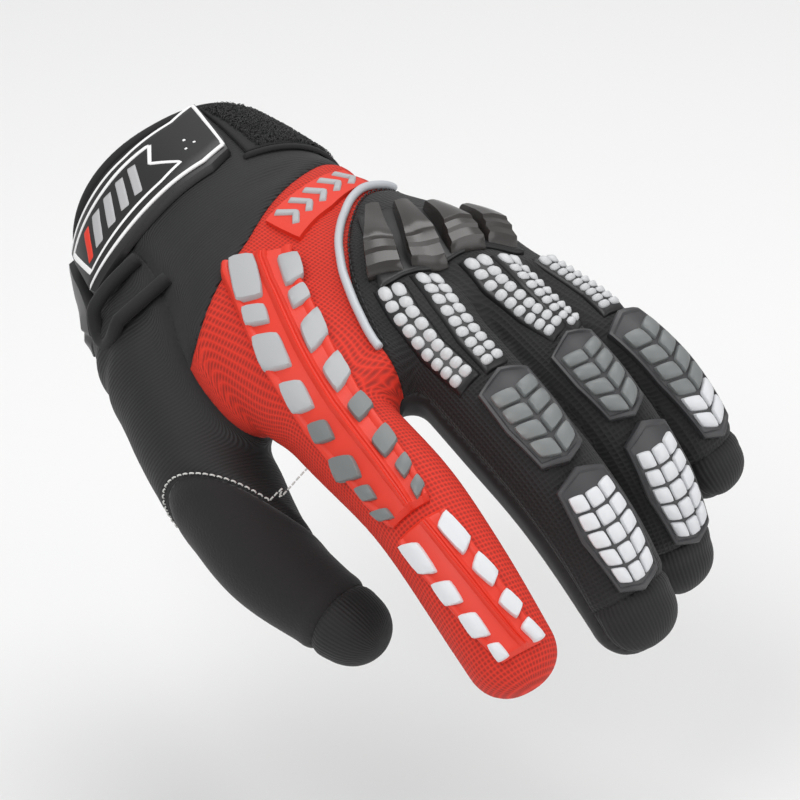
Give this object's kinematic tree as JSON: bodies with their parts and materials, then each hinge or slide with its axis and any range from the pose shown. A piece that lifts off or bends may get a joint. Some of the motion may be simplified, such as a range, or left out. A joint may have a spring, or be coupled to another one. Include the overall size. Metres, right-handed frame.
{
  "type": "motocross glove",
  "caption": "Left-hand motocross glove in its worn shape: red index panel, black mesh back, rubber knuckle guard, finger plates, bead strips and a wrist strap.",
  "frame": {"origin": "centre of the wrist opening", "axes": "+X from the wrist opening to the knuckles along the hand, -Y on the side of the thumb, +Z towards the back of the hand, which is rolled 14 degrees about X so that the thumb edge lies lower"},
  "size_m": [0.1906, 0.1294, 0.0974],
  "materials": {
    "red_mesh": "matte",
    "black_mesh": "matte",
    "ribbed_black": "matte",
    "palm_black": "matte",
    "suede_black": "matte",
    "landing_loops": "matte",
    "piping_grey": "satin",
    "strap_black": "satin",
    "red_rubber": "satin",
    "guard_black": "satin",
    "bead_grey": "satin",
    "plate_grey": "satin"
  },
  "bodies": {
    "root": {"cuff": "ribbed_black", "index_panel": "red_mesh", "index_finger_back": "red_mesh", "back_panel": "black_mesh", "middle_finger_back": "black_mesh", "ring_finger_back": "black_mesh", "little_finger_back": "black_mesh", "palm_panel": "palm_black", "index_finger_front": "palm_black", "middle_finger_front": "palm_black", "ring_finger_front": "palm_black", "little_finger_front": "palm_black", "thumb": "ribbed_black", "thumb_tip": "suede_black", "strap": "strap_black", "strap_base": "strap_black", "landing_patch": "landing_loops", "pull_loop": "ribbed_black", "piping": "piping_grey", "wrist_plaque": "red_rubber", "knuckle_guard": "guard_black", "bead_strip_middle_inner": "bead_grey", "bead_strip_middle_outer": "bead_grey", "bead_strip_ring_inner": "bead_grey", "bead_strip_ring_outer": "bead_grey", "bead_strip_little": "bead_grey", "index_plate_upper": "red_rubber", "index_plate_lower": "red_rubber", "middle_plate_upper": "plate_grey", "middle_plate_lower": "plate_grey", "ring_plate_upper": "plate_grey", "ring_plate_lower": "plate_grey", "little_plate": "plate_grey"}
  },
  "joints": []
}
